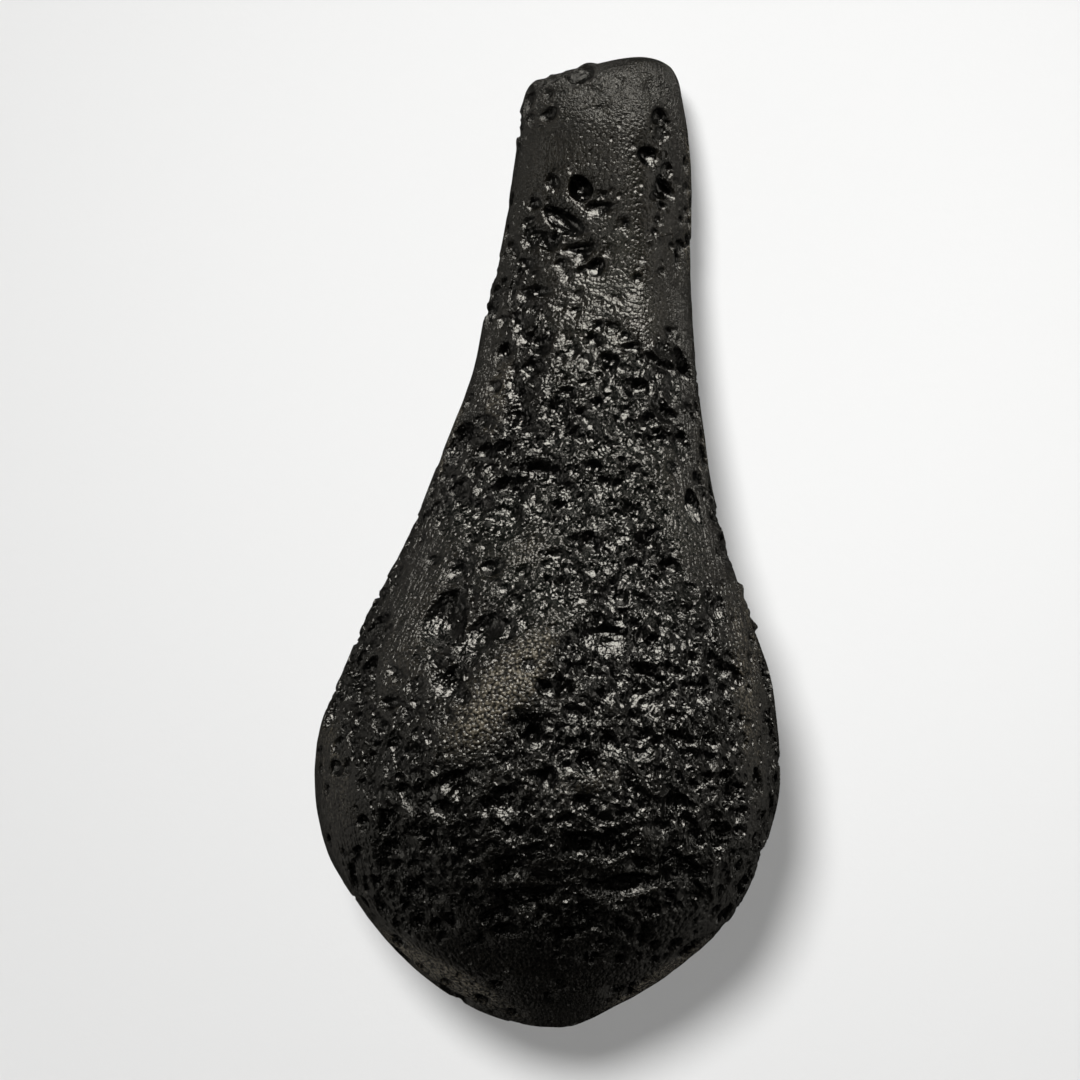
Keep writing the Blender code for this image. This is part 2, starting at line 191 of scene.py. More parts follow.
@dataclass(frozen=True)
class DropForm:
    """The smooth drop: a sphere stretched over a row of cross sections.

    Attributes:
        half_length: Half its length in millimetres.
        power: 2 makes elliptical cross sections, and more makes them squarer.
        sections: The cross sections from the bulb's foot to the end of the neck.
        flats: The places that it rests on, as (x, y, radius kept free of pits).
        underside: How high up the flats still count.
    """

    half_length: float = 38.4
    power: float = 2.05
    sections: tuple[Section, ...] = (
        Section(-38.4, 0.9, 0.9, 0.9, 13.0, 13.0),
        Section(-37.0, -5.2, 4.8, 0.4, 8.9, 17.4),
        Section(-33.9, -10.0, 9.9, 0.2, 5.0, 22.0),
        Section(-29.1, -14.4, 14.8, -0.2, 1.9, 26.6),
        Section(-24.4, -17.2, 16.9, -0.8, 0.3, 29.1),
        Section(-19.7, -18.1, 18.1, -1.4, -0.25, 30.0),
        Section(-15.0, -17.8, 18.0, -1.6, -0.15, 29.6),
        Section(-10.3, -16.0, 17.4, -0.8, 0.5, 28.3),
        Section(-5.7, -14.0, 15.9, 0.8, 1.6, 26.0),
        Section(-1.0, -11.5, 14.3, 2.4, 2.4, 23.2),
        Section(3.7, -9.6, 13.0, 3.8, 2.8, 20.4),
        Section(8.5, -7.6, 12.3, 4.9, 2.7, 18.1),
        Section(13.3, -5.9, 11.8, 5.8, 2.2, 16.1),
        Section(18.1, -5.0, 11.6, 6.3, 1.5, 14.5),
        Section(24.1, -3.7, 11.4, 6.5, 0.6, 13.1),
        Section(30.1, -2.6, 11.2, 6.6, -0.1, 12.0),
        Section(34.6, -1.8, 10.8, 6.7, -0.3, 11.1),
        Section(36.5, -0.5, 10.5, 6.9, 0.4, 10.2),
        Section(37.5, 2.8, 10.0, 7.2, 1.9, 8.9),
        Section(38.4, 7.7, 7.7, 7.7, 5.2, 5.2),
    )
    flats: tuple[tuple[float, float, float], ...] = ((-1.2, -18.0, 6.5), (5.6, 32.0, 4.5))
    underside: float = 5.0

    def section_at(self, polar: Array) -> Array:
        """The cross section at a polar angle, which is 0 at the bulb's foot and pi at the neck's end.

        Between two sections each size follows the cubic through them whose slopes at the sections are
        those of the sections on either side.

        Args:
            polar: Polar angles.

        Returns:
            Left, right, crest, under and top for each angle, first axis last.
        """
        rows = np.array([[s.left, s.right, s.crest, s.under, s.top] for s in self.sections])
        knots = np.arccos(np.clip([-s.y / self.half_length for s in self.sections], -1, 1))
        slopes = np.gradient(rows, knots, axis=0)
        i = np.clip(np.searchsorted(knots, polar) - 1, 0, len(knots) - 2)
        gap = (knots[i + 1] - knots[i])[..., None]
        t = (polar - knots[i])[..., None] / gap
        blend = t * t * (3 - 2 * t)
        return (
            rows[i] * (1 - blend)
            + rows[i + 1] * blend
            + slopes[i] * gap * t * (1 - t) ** 2
            - slopes[i + 1] * gap * t * t * (1 - t)
        )

    def skin(self, polar: Array, around: Array) -> Array:
        """Points of the smooth drop.

        A point is the crest, plus the half width times cos(around) across, plus the half height times
        sin(around) upwards, both stretched by (|cos|^p + |sin|^p)^(-1/p), where p is the power. Its
        place along the drop is -half_length times cos(polar).

        Args:
            polar: Polar angles, 0 at the bulb's foot.
            around: Angles round a section, 0 at +X and a right angle at the top.

        Returns:
            The points, in millimetres, x, y, z last.
        """
        left, right, crest, under, top = np.moveaxis(self.section_at(polar), -1, 0)
        middle = (under + top) / 2
        cos, sin = np.cos(around), np.sin(around)
        y = -self.half_length * np.cos(polar) + 0 * cos
        reach = (np.abs(cos) ** self.power + np.abs(sin) ** self.power) ** (-1 / self.power)
        across = np.where(cos > 0, right - crest, crest - left)
        height = middle + (top - middle) * reach * sin
        return np.stack([crest + across * reach * cos, y, height], axis=-1)

    def over(self, x: float, y: float) -> Array:
        """The point of the upper side that lies over (x, y)."""
        around = np.linspace(math.pi, 0, 361)
        arch = self.skin(np.full(around.size, math.acos(-y / self.half_length)), around)
        return np.array([x, y, np.interp(x, arch[:, 0], arch[:, 2])])

    def random_point(self, rng: Random) -> Array:
        """A point spread evenly over the skin.

        Places are tried until one is kept, with a chance in proportion to the skin's area there.
        """
        step, most_area = 0.01, 420.0
        while True:
            polar = math.acos(rng.uniform(-1, 1))
            around = rng.uniform(0, 2 * math.pi)
            corner, along, across = self.skin(
                np.array([polar, min(polar + step, math.pi), polar]),
                np.array([around, around, around + step]),
            )
            patch = np.linalg.norm(np.cross(along - corner, across - corner))
            if rng.uniform() * most_area < patch / step**2 / max(math.sin(polar), 0.05):
                return corner

    def near_flat(self, place: Array, reach: float = 0.0) -> bool:
        """Whether a place on the underside is within reach of a flat."""
        low = place[2] < self.underside
        return low and any(math.dist(place[:2], flat[:2]) < flat[2] + reach for flat in self.flats)


@dataclass
class Skin:
    """The drop's skin as a grid of points, in millimetres.

    Attributes:
        form: The smooth drop.
        rows: Number of cross sections.
        columns: Number of points round each of them.
        points: The grid, rows by columns by x, y, z.
        normals: Outward unit normals at the points.
        areas: The skin's area that belongs to each point.
        row_y: Y of each cross section of the smooth drop.
    """

    form: DropForm
    rows: int = 820
    columns: int = 1100
    points: Array = field(init=False)
    normals: Array = field(init=False)
    areas: Array = field(init=False)
    row_y: Array = field(init=False)

    def __post_init__(self) -> None:
        """Lays the smooth drop out over the grid."""
        polar = np.pi * (np.arange(self.rows) + 0.5) / self.rows
        around = 2 * np.pi * np.arange(self.columns) / self.columns
        self.points = self.form.skin(polar[:, None] + 0 * around, around + 0 * polar[:, None])
        self.row_y = self.points[:, 0, 1].copy()
        self.measure()

    def measure(self) -> None:
        """Works out normals and areas.

        Each point's normal is the cross product of the step between its neighbours along the drop and
        the step between its neighbours round it, and its area is a quarter of that product's length.
        """
        along = np.gradient(self.points, axis=0) * 2
        round_it = np.roll(self.points, -1, axis=1) - np.roll(self.points, 1, axis=1)
        cross = np.cross(along, round_it)
        length = np.linalg.norm(cross, axis=-1)
        self.normals = cross / np.maximum(length, 1e-12)[..., None]
        self.areas = length / 4

    def raise_by(self, heights: Array) -> None:
        """Moves each point out along its normal, and measures the skin again."""
        self.points = self.points + heights[..., None] * self.normals
        self.measure()

    def patch(
        self, place: Array, radius: float, turn: float
    ) -> tuple[Array, Array, Array]:
        """The points round a place, seen along the skin's normal there.

        Args:
            place: The place, in millimetres.
            radius: How far round it to look.
            turn: Angle of the first axis from +X, in degrees.

        Returns:
            Flat indices of the points, and how far each lies along and across the turned axis.
        """
        reach = 1.3 * radius + 0.7
        first, last = np.searchsorted(self.row_y, [place[1] - reach, place[1] + reach])
        first, last = min(first, self.rows - 1), max(last, 1)
        points = self.points[first:last].reshape(-1, 3)
        away = ((points - place) ** 2).sum(axis=1)
        nearest = int(np.argmin(away))
        inside = np.flatnonzero(away < (1.3 * radius + math.sqrt(away[nearest])) ** 2)

        out = self.normals[first:last].reshape(-1, 3)[nearest]
        guide = np.array([0.0, 1.0, 0.0]) if abs(out[1]) < 0.9 else UP
        along = unit(guide - (guide @ out) * out)
        across = np.cross(along, out)
        angle = math.radians(turn)
        long_way = math.cos(angle) * across + math.sin(angle) * along
        short_way = np.cross(out, long_way)
        offset = points[inside] - points[nearest]
        return inside + first * self.columns, offset @ long_way, offset @ short_way


# Ridges and hollows

@dataclass(frozen=True)
class Swells:
    """Broad ridges (depth over 0) and hollows (depth under 0) of the skin.

    Attributes:
        named: Those of the upper side.
        count: How many more are spread at random over the whole drop.
        radius: Smallest and largest radius of those.
        height: The most that those go in or out.
    """

    named: tuple[Oval, ...] = ovals(
        (-3.4, -11.3, 15.0, 4.2, 50, 0.55),  # ridge that runs down the bulb from the neck
        (6.9, 23.7, 22.0, 3.4, 90, 0.25),  # crest of the neck
        (9.9, 23.7, 18.0, 2.6, 90, -0.15),  # its steeper right flank
        (8.7, 28.8, 8.5, 3.4, 90, -0.24),
        (-11.5, -4.8, 15.0, 7.0, 62, -0.35),  # smooth left shoulder
        (-7.0, -5.9, 6.4, 6.0, 90, -0.60),  # dish round the twin pit
        (4.7, -7.7, 8.5, 5.0, 0, -0.50),  # dish in the middle of the bulb
        (7.6, -12.3, 4.0, 4.0, 0, -0.35), (1.5, 3.7, 8.0, 5.0, -30, -0.30),
        (12.8, -1.8, 13.0, 4.0, 108, 0.35),  # smooth right shoulder
        (-12.4, -28.7, 12.0, 3.0, -48, 0.55),  # lip along the foot of the bulb
        (-9.6, -26.7, 10.0, 3.0, -48, -0.40), (14.2, -24.3, 10.0, 3.0, 60, 0.30),
        (-7.7, -32.4, 13.0, 1.4, -28, 0.32), (-6.9, -31.2, 11.0, 1.6, -28, -0.28),
        (2.0, -25.8, 16.0, 4.0, 0, -0.30),
        (13.2, 0.7, 1.3, 1.1, 0, 0.30),  # lumps down the right edge
        (14.9, -3.9, 1.5, 1.4, 0, 0.45), (15.5, -5.4, 1.5, 1.4, 0, 0.45),
        (16.4, -7.1, 1.7, 1.5, 0, 0.40),
        (0.9, 36.9, 3.0, 2.4, 0, -0.55),  # steps in the end of the neck
        (3.3, 37.4, 1.9, 2.0, 0, 0.35), (4.6, 37.9, 3.0, 2.2, 0, -0.45),
        (7.8, 37.6, 3.2, 2.4, 0, 0.25),
    )
    count: int = 46
    radius: tuple[float, float] = (2.6, 6.5)
    height: float = 0.30

    def raise_skin(self, skin: Skin, rng: Random) -> None:
        """Adds one bell, height times exp(-distance^2), to the skin for each swell.

        Args:
            skin: The drop's skin.
            rng: Source of the random swells.
        """
        form = skin.form
        swells = [(form.over(s.x, s.y), s.length, s.width, s.turn, s.depth) for s in self.named]
        for _ in range(self.count):
            place = form.random_point(rng)
            size = 2 * rng.uniform(*self.radius)
            height = rng.uniform(-self.height, self.height)
            if not form.near_flat(place, size / 4):
                swells.append((place, size, size, 0.0, height))

        heights = np.zeros(skin.rows * skin.columns)
        for place, length, width, turn, height in swells:
            patch, along, across = skin.patch(place, 2.2 * max(length, width) / 2, turn)
            distance = np.hypot(along / (length / 2), across / (width / 2))
            heights[patch] += height * np.exp(-(distance**2))
        skin.raise_by(heights.reshape(skin.rows, skin.columns))


# Pits

class PitForm(Enum):
    """What a pit looks like inside."""

    BOWL = "a plain round bowl"
    SWIRL = "a bowl with rings of fine ridges inside"


@dataclass(frozen=True)
class Cluster:
    """An oval part of the upper side where small pits crowd together, in millimetres.

    Attributes:
        x: X of its middle.
        y: Y of its middle.
        across: Its radius along X.
        along: Its radius along Y.
        crowding: How many times more pits it has than the rest.
    """

    x: float
    y: float
    across: float
    along: float
    crowding: float


@dataclass(frozen=True)
class SmallPits:
    """One size of small pit, spread at random where the skin is crowded.

    Attributes:
        count: Number of pits.
        length: Smallest and largest way across, in millimetres. Most are near the smallest.
        depth: Depth as a share of the width.
    """

    count: int
    length: tuple[float, float]
    depth: float


@dataclass(frozen=True)
class PitPlan:
    """Where the pits are, and how deep.

    Attributes:
        named: The larger pits of the upper side.
        swirled: More of them, with rings inside.
        steepness: Under 1 gives bowls with a crisp rim and steep sides.
        lean: How much deeper a pit is on the side of the neck.
        flank_count: Number of larger pits on the flanks and the underside.
        flank_length: Their smallest and largest way across.
        flank_depth: Their depth as a share of their width.
        flank_seed: Seed of their places.
        crown_tilt: The flanks are where the normal's upward part is less than this.
        crowd_mottle: Where the flanks are crowded.
        pale_mottle: Where the flanks are pale.
        medium: The larger of the two sizes of small pit.
        fine: The smaller of them.
        clusters: Where small pits crowd together on the upper side.
        lanes: Smooth ridges of the upper side, with hardly a pit. Their depth is how pale they are, which
            is partly paler etched skin and partly painted sheen: a highlight down the bulb and reflections
            of the floor along the edges and the lips of the foot.
    """

    swirled: tuple[Oval, ...] = ovals(
        (-8.1, -6.1, 5.8, 3.6, 97, 1.10),  # the twin pit
        (-5.2, -7.2, 4.4, 3.1, 84, 0.90), (7.6, -12.3, 3.2, 3.0, 0, 0.65),
        (4.7, -7.6, 6.9, 3.4, -3, 0.60),  # the dish in the middle of the bulb
        (-0.5, 5.1, 3.8, 2.4, -15, 1.05), (5.9, -26.6, 5.3, 2.1, 6, 0.80),
        (-2.0, -27.6, 5.0, 2.3, 10, 0.80),
    )
    named: tuple[Oval, ...] = ovals(
        # the end of the neck
        (0.1, 35.0, 1.1, 1.0, 0, 0.25), (3.1, 35.4, 1.3, 1.1, 0, 0.30), (5.2, 35.3, 1.0, 0.9, 0, 0.22),
        (9.2, 35.6, 1.1, 1.1, 0, 0.25), (4.1, 33.8, 1.0, 0.8, 0, 0.18),
        # one round pit on the neck, with slanting grooves under it
        (2.5, 27.5, 2.1, 2.1, 0, 1.05), (1.1, 24.9, 4.2, 1.8, -35, 0.85),
        (-0.4, 23.5, 3.0, 1.4, -35, 0.55), (4.0, 25.9, 2.7, 1.3, 0, 0.35),
        (2.5, 22.7, 3.0, 1.2, 5, 0.35),
        # the neck's right flank
        (8.0, 30.0, 1.8, 1.8, 0, 0.70), (9.4, 27.4, 2.2, 1.6, -20, 0.65),
        (10.5, 21.9, 1.0, 1.8, 0, 0.45),
        # the neck's left strip
        (-1.6, 19.3, 2.2, 1.5, 20, 0.35), (-2.4, 17.1, 2.4, 1.4, -20, 0.40),
        (-1.4, 15.5, 2.4, 1.3, 0, 0.45), (-1.2, 13.3, 2.1, 1.7, 0, 0.55),
        (-1.8, 10.9, 2.0, 1.7, 60, 0.50), (-1.4, 8.5, 2.4, 1.5, 0, 0.50),
        # the cluster where the right flank widens
        (6.6, 14.8, 1.8, 1.2, 0, 0.45), (6.9, 11.7, 2.1, 2.1, 0, 0.85), (9.4, 13.3, 2.3, 1.4, 0, 0.65),
        (9.2, 9.6, 2.8, 1.4, 0, 0.60), (5.4, 8.3, 1.6, 1.3, 0, 0.40), (9.6, 5.2, 1.6, 1.1, -40, 0.35),
        (12.1, 3.5, 1.9, 1.2, 90, 0.45),
        # the waist
        (3.4, 8.6, 4.6, 1.3, -64, 0.50), (-5.0, 6.6, 2.0, 1.8, 0, 0.85), (3.4, 5.5, 1.8, 1.3, 0, 0.50),
        (-6.6, 4.2, 1.4, 1.2, 0, 0.40), (-8.5, 1.4, 1.7, 1.0, 80, 0.35),
        (-4.7, 1.7, 1.6, 1.0, 0, 0.35), (-5.9, 0.0, 1.6, 1.4, 0, 0.45),
        (2.7, 2.3, 3.0, 1.5, -10, 0.60), (6.1, 0.0, 3.4, 1.3, -12, 0.55),
        # the shoulder of the bulb
        (-4.4, -2.2, 2.4, 1.6, 10, 0.65), (-2.0, -2.6, 1.5, 1.5, 0, 0.50),
        (0.7, -1.2, 1.9, 1.3, 0, 0.50), (0.4, -3.2, 2.0, 1.4, 0, 0.55),
        (3.2, -2.5, 2.8, 1.8, -20, 0.45), (2.6, -4.7, 3.0, 1.2, 10, 0.40),
        (-1.7, -6.3, 1.6, 1.2, 0, 0.35),
        # the string of pits under the twin pit
        (-6.5, -8.4, 2.1, 1.1, 0, 0.40), (-6.9, -9.9, 1.6, 1.3, 0, 0.50),
        (-8.4, -9.5, 1.6, 1.2, 0, 0.40),
        # the middle of the bulb
        (5.5, -6.4, 3.4, 1.2, -3, 0.45), (2.3, -9.8, 2.2, 1.6, 20, 0.55),
        (0.5, -11.7, 2.6, 1.4, 10, 0.55), (7.6, -9.8, 2.1, 1.3, 0, 0.50),
        (3.0, -13.4, 1.4, 1.3, 0, 0.40), (-0.9, -15.3, 2.2, 2.2, 0, 0.80),
        (-0.1, -18.3, 1.9, 1.9, 0, 0.75), (6.8, -14.7, 3.6, 1.2, -5, 0.40),
        (8.6, -17.7, 1.4, 1.3, 90, 0.45), (6.5, -19.2, 1.5, 1.3, 0, 0.40),
        # the right side of the bulb
        (10.6, -5.5, 2.4, 1.3, 0, 0.55), (9.2, -6.8, 1.8, 1.3, 0, 0.50),
        (11.6, -7.3, 2.6, 1.4, 10, 0.60), (12.0, -18.4, 1.6, 1.4, 0, 0.50),
        (13.4, -20.3, 1.7, 1.4, 0, 0.50), (11.0, -26.1, 1.9, 1.3, 20, 0.45),
        # the left side of the bulb
        (-12.0, -12.7, 2.0, 1.3, 0, 0.55), (-12.6, -14.5, 1.8, 1.1, 0, 0.45),
        (-14.5, -14.9, 2.4, 1.2, -10, 0.45), (-11.3, -17.3, 1.5, 1.1, 0, 0.40),
        (-9.2, -19.3, 2.4, 1.9, -35, 0.60), (-7.9, -20.7, 2.4, 1.8, -35, 0.60),
        (-10.1, -25.2, 1.7, 1.4, 0, 0.45), (-12.8, -26.7, 1.8, 1.3, -45, 0.45),
        (-8.4, -27.5, 1.4, 1.2, 0, 0.40),
        # the foot of the bulb
        (2.3, -23.2, 3.9, 2.1, 0, 0.60), (8.5, -22.1, 3.1, 1.4, 0, 0.50),
        (7.0, -25.0, 2.4, 1.5, 0, 0.50), (-3.2, -30.0, 2.9, 1.5, 0, 0.50),
        (1.4, -30.2, 3.6, 1.4, 0, 0.50),
    )
    steepness: float = 0.75
    lean: float = 0.25
    flank_count: int = 190
    flank_length: tuple[float, float] = (1.3, 3.4)
    flank_depth: float = 0.40
    flank_seed: int = 4107
    crown_tilt: float = 0.55
    crowd_mottle: Mottle = Mottle(11, 6.5)
    pale_mottle: Mottle = Mottle(12, 7.5)
    medium: SmallPits = SmallPits(220, (1.7, 2.9), 0.29)
    fine: SmallPits = SmallPits(2400, (0.9, 1.8), 0.32)
    clusters: tuple[Cluster, ...] = (
        # the neck
        Cluster(4.8, 35.9, 5.0, 1.5, 0.4), Cluster(8.9, 28.8, 1.8, 4.0, 1.0),
        Cluster(1.4, 25.2, 3.0, 3.0, 0.6), Cluster(-2.0, 17.0, 1.8, 7.0, 1.2),
        Cluster(3.2, 17.0, 3.2, 5.0, 0.3),
        # the waist
        Cluster(8.4, 11.1, 3.2, 4.5, 1.6), Cluster(-0.6, 7.6, 6.0, 4.5, 1.4),
        Cluster(-6.4, 4.5, 3.0, 4.0, 1.5), Cluster(-3.7, 2.9, 3.0, 3.0, 1.2),
        Cluster(4.1, 0.6, 5.0, 4.0, 1.5),
        # the bulb's shoulder and middle
        Cluster(2.5, -4.1, 4.5, 3.0, 1.6), Cluster(-6.6, -7.8, 3.0, 4.0, 1.4),
        Cluster(5.5, -7.9, 6.0, 3.5, 1.5), Cluster(11.0, -7.1, 3.0, 3.5, 1.7),
        Cluster(7.0, -12.3, 6.0, 5.0, 1.3), Cluster(1.0, -15.3, 6.0, 4.0, 1.0),
        Cluster(10.0, -17.3, 5.0, 5.0, 1.4),
        # its left side
        Cluster(-13.5, -14.5, 3.5, 4.0, 1.7), Cluster(-9.6, -19.8, 4.0, 3.5, 1.4),
        Cluster(-11.2, -26.3, 3.5, 4.0, 1.5),
        # its foot
        Cluster(1.0, -22.3, 8.0, 3.0, 0.9), Cluster(11.6, -23.7, 4.0, 5.0, 1.2),
        Cluster(1.0, -28.8, 8.0, 3.5, 0.9),
    )
    lanes: tuple[Oval, ...] = ovals(
        (-3.1, -11.2, 14.0, 4.4, 50, 1.1),  # down the bulb, paler etched skin that is partly a painted highlight
        (-10.8, -7.5, 13.0, 5.0, 66, 0.15),  # left of the twin pit
        (-1.5, -1.0, 4.0, 3.0, 20, 0.4),
        (5.4, 29.4, 13.0, 6.0, 92, 0.0),  # along the neck
        (7.4, 19.5, 11.0, 3.6, 90, 0.2), (-4.0, 10.5, 9.0, 2.2, 75, 0.5),
        (10.4, 2.0, 10.0, 2.6, 100, 0.15),
        (15.4, -11.0, 17.0, 2.6, 95, 0.7),  # down the right edge, paler etched skin that is partly a painted reflection of the floor
        (-16.1, -19.0, 9.0, 2.4, 95, 0.6),
        (-8.6, -33.4, 13.0, 2.0, -30, 2.0),  # lips of the foot, paler etched skin that is partly a painted reflection of the floor
        (-15.9, -27.4, 8.0, 1.4, -54, 1.4), (9.2, -33.8, 12.0, 1.6, 32, 1.6),
        (3.5, -18.2, 7.0, 2.6, 10, 0.3),
    )

    def flank_pits(self, skin: Skin) -> list[tuple]:
        """The larger pits of the flanks and the underside, few of them overlapping.

        Args:
            skin: The drop's skin.

        Returns:
            Place, length, width, turn, depth and form of each pit.
        """
        rng = np.random.default_rng(self.flank_seed)
        pits: list[tuple] = []
        nodes = skin.points.reshape(-1, 3)[::7]
        tilts = skin.normals.reshape(-1, 3)[::7, 2]
        while len(pits) < self.flank_count:
            place = skin.form.random_point(rng)
            length = rng.uniform(*self.flank_length)
            width = length * rng.uniform(0.55, 1.0)
            turn = rng.uniform(0, 180)
            crowded = any(math.dist(place, other[0]) < 0.42 * (length + other[1]) for other in pits)
            if crowded or skin.form.near_flat(place, length / 2):
                continue
            nearest = int(np.argmin(((nodes - place) ** 2).sum(axis=1)))
            if tilts[nearest] < self.crown_tilt:
                pits.append((place, length, width, turn, self.flank_depth * width, PitForm.BOWL))
        return pits

    def lane_paleness(self, skin: Skin) -> Array:
        """How much each point of the upper side lies on a smooth lane.

        It is the largest over the lanes of exp(-distance^3), where a lane's edge is at distance 1.

        Args:
            skin: The drop's skin.

        Returns:
            Two values for each point, last: on a lane from 0 to 1, and that times the lane's paleness,
                which is partly painted sheen.
        """
        x, y = skin.points[..., 0], skin.points[..., 1]
        best = np.zeros(x.shape + (2,))
        for lane in self.lanes:
            inside = np.exp(-(lane.distance(x, y) ** 3))
            # The second value is how pale a point is painted: partly paler skin, partly painted sheen.
            best = np.maximum(best, np.stack([inside, inside * lane.depth], axis=-1))
        return best

    def crowding(self, skin: Skin) -> tuple[Array, Array]:
        """How crowded with small pits, and how pale, each point of the skin is.

        On the upper side it is the sum over the clusters of crowding times exp(-distance^2), where the
        distance is 1 at the cluster's radius, less on the lanes. Lower down, smooth random values stand
        for the clusters and the lanes.

        Args:
            skin: The drop's skin.

        Returns:
            Crowding, about 0 on smooth parts and 1 to 2 in clusters, and paleness from 0 to 1, which on the
            lanes is partly painted sheen and lower down is random paler skin.
        """
        x, y, z = np.moveaxis(skin.points, -1, 0)
        crown = np.full(x.shape, 0.12)
        for c in self.clusters:
            distance = ((x - c.x) / c.across) ** 2 + ((y - c.y) / c.along) ** 2
            crown += c.crowding * np.exp(-distance)
        on_lane, pale = np.moveaxis(self.lane_paleness(skin), -1, 0)
        for p in self.swirled + self.named:
            crown *= ease(0.55, 1.10, p.distance(x, y))
        patches = ease(-0.15, 0.55, self.crowd_mottle.at(skin.points)) * 1.5 + 0.1
        pale_patches = ease(0.05, 0.6, self.pale_mottle.at(skin.points))
        upper = ease(0.15, 0.70, skin.normals[..., 2])
        above = ease(0.0, 0.2, skin.normals[..., 2])
        crowded = (crown * upper + patches * (1 - upper)) * (1 - 0.84 * on_lane * above)
        for flat_x, flat_y, radius in skin.form.flats:
            away = np.hypot(x - flat_x, y - flat_y)
            crowded *= np.where(z < skin.form.underside, ease(0.75 * radius, radius, away), 1.0)
        # Lane paleness is partly painted sheen: a highlight down the bulb and floor reflections at the
        # edges and the foot. The patches lower down are random paler skin.
        return crowded, np.maximum(pale * above, pale_patches * (1 - upper))


@dataclass
class PitPress:
    """Presses pits into the skin, one size after another.

    Attributes:
        skin: The drop's skin.
        plan: Where the pits are.
        rng: Source of the random places and shapes.
        depth: How deep below the swelled skin each point lies, in millimetres.
    """

    skin: Skin
    plan: PitPlan
    rng: Random
    depth: Array = field(init=False)

    def __post_init__(self) -> None:
        """Starts with an unpitted skin."""
        self.depth = np.zeros(self.skin.rows * self.skin.columns)

    def bowl(
        self, place: Array, length: float, width: float, turn: float, depth: float, form: PitForm
    ) -> tuple[Array, Array]:
        """One pit.

        Its depth is depth times (1 - r^2)^steepness times 1 + lean s, where r is the distance from the
        middle in units of the oval's radius, which two and three waves round the rim make a little
        uneven, and s is the part of that distance that points to the neck. A swirl also has rings, the
        cosine of just under two turns from the middle to the rim.

        Args:
            place: Its middle.
            length: Its longer way across.
            width: Its shorter way across.
            turn: Angle of the longer way from +X, in degrees.
            depth: Depth of its middle.
            form: What it looks like inside.

        Returns:
            Flat indices of the points inside it, and their depths.
        """
        patch, along, across = self.skin.patch(place, 0.62 * max(length, width), turn)
        a, b = along / (length / 2), across / (width / 2)
        angle = np.arctan2(b, a)
        waves = self.rng.uniform(0, 2 * np.pi, 2)
        uneven = 0.07 * np.sin(2 * angle + waves[0]) + 0.06 * np.sin(3 * angle + waves[1])
        r = np.hypot(a, b) * (1 + uneven)
        inside = r < 1
        patch, r, angle = patch[inside], r[inside], angle[inside]
        neckwards = a * math.sin(math.radians(turn)) + b * math.cos(math.radians(turn))
        depths = depth * (1 - r**2) ** self.plan.steepness * (1 + self.plan.lean * neckwards[inside])
        if form is PitForm.SWIRL:
            rings = np.cos(3.6 * np.pi * r + 0.6 * np.sin(angle))
            depths = depths + 0.08 * rings * (1 - r**2) ** 0.5
        return patch, depths

    def press(self, pits: list[tuple]) -> None:
        """Adds the depths of one size of pit.

        Where pits of one size overlap the deeper one counts, which leaves a sharp wall between them.

        Args:
            pits: Place, length, width, turn, depth and form of each pit.
        """
        depths = np.zeros_like(self.depth)
        for pit in pits:
            patch, bowl = self.bowl(*pit)
            depths[patch] = np.maximum(depths[patch], bowl)
        self.depth += depths

    def sink(self) -> None:
        """Moves the skin in by the depths of all the pits, less at the tight end of the neck."""
        self.depth *= 1 - 0.6 * ease(33.0, 36.0, self.skin.points[..., 1]).ravel()
        self.skin.raise_by(-self.depth.reshape(self.skin.rows, self.skin.columns))

    def large(self) -> None:
        """Presses the pits that have a place of their own, and the larger ones of the flanks."""
        pits = [
            (self.skin.form.over(p.x, p.y), p.length, p.width, p.turn, p.depth, form)
            for placed, form in ((self.plan.swirled, PitForm.SWIRL), (self.plan.named, PitForm.BOWL))
            for p in placed
        ]
        self.press(pits + self.plan.flank_pits(self.skin))

    def small(self, crowding: Array, kind: SmallPits) -> None:
        """Presses one size of small pit at random places.

        Args:
            crowding: How crowded each point is.
            kind: Their number and sizes.
        """
        weights = (self.skin.areas * crowding).ravel()
        nodes = self.rng.choice(weights.size, size=kind.count, p=weights / weights.sum())
        low, high = kind.length
        pits = []
        for node in nodes:
            size = low + (high - low) * self.rng.uniform() ** 1.8
            width = size * self.rng.uniform(0.6, 1.0)
            place = self.skin.points.reshape(-1, 3)[node]
            deep = kind.depth * width * self.rng.uniform(0.7, 1.15)
            pits.append((place, size, width, self.rng.normal(0, 50), deep, PitForm.BOWL))
        self.press(pits)


# The glass

